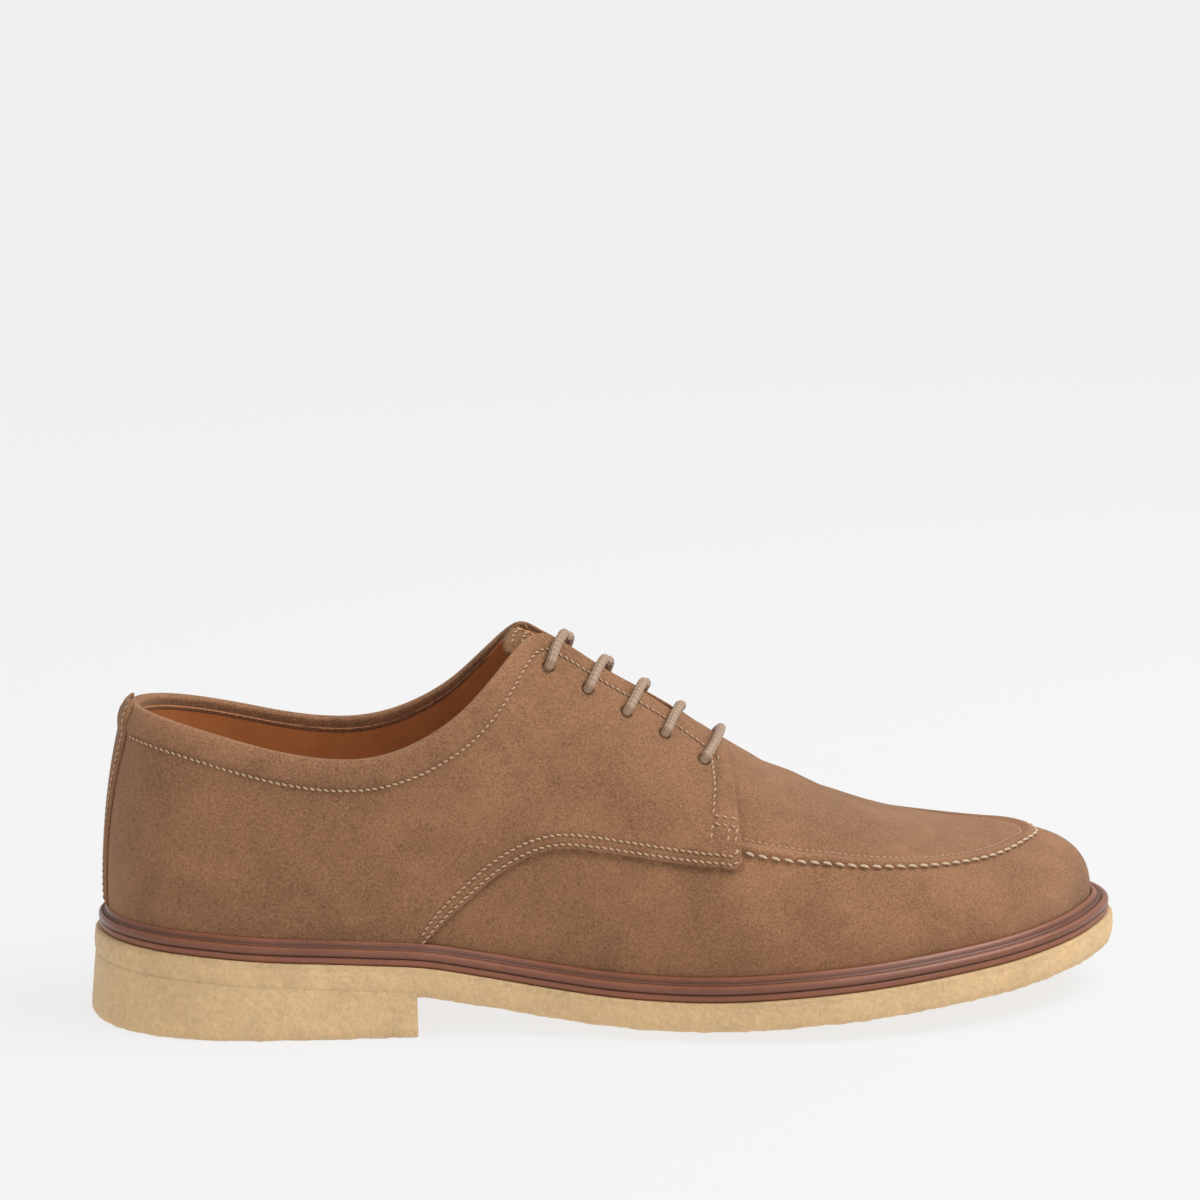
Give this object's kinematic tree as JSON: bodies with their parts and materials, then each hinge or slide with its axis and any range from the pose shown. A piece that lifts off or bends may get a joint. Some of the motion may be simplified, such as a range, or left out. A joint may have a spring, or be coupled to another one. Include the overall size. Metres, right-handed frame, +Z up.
{
  "type": "derby shoe",
  "caption": "Low lace-up derby shoe: hollow suede upper with a raised apron seam, open collar, storm welt, crepe sole and stacked heel.",
  "frame": {"origin": "on the floor, under the middle of the sole's outline", "axes": "+X from heel to toe, +Y towards the inner side of the foot, +Z up from the floor"},
  "size_m": [0.3018, 0.1126, 0.1129],
  "materials": {
    "crepe": "natural crepe, wrinkled, half matt",
    "welt_leather": "waxed red-brown leather",
    "suede": "taupe suede, soft nap",
    "lining_leather": "tan smooth lining leather",
    "lace_cord": "round waxed cotton cord"
  },
  "bodies": {
    "root": {"outsole": "crepe", "heel": "crepe", "midsole": "welt_leather", "welt": "welt_leather", "insole": "lining_leather", "upper": "suede", "tongue": "suede", "backstay": "suede", "lace": "lace_cord"}
  },
  "joints": []
}
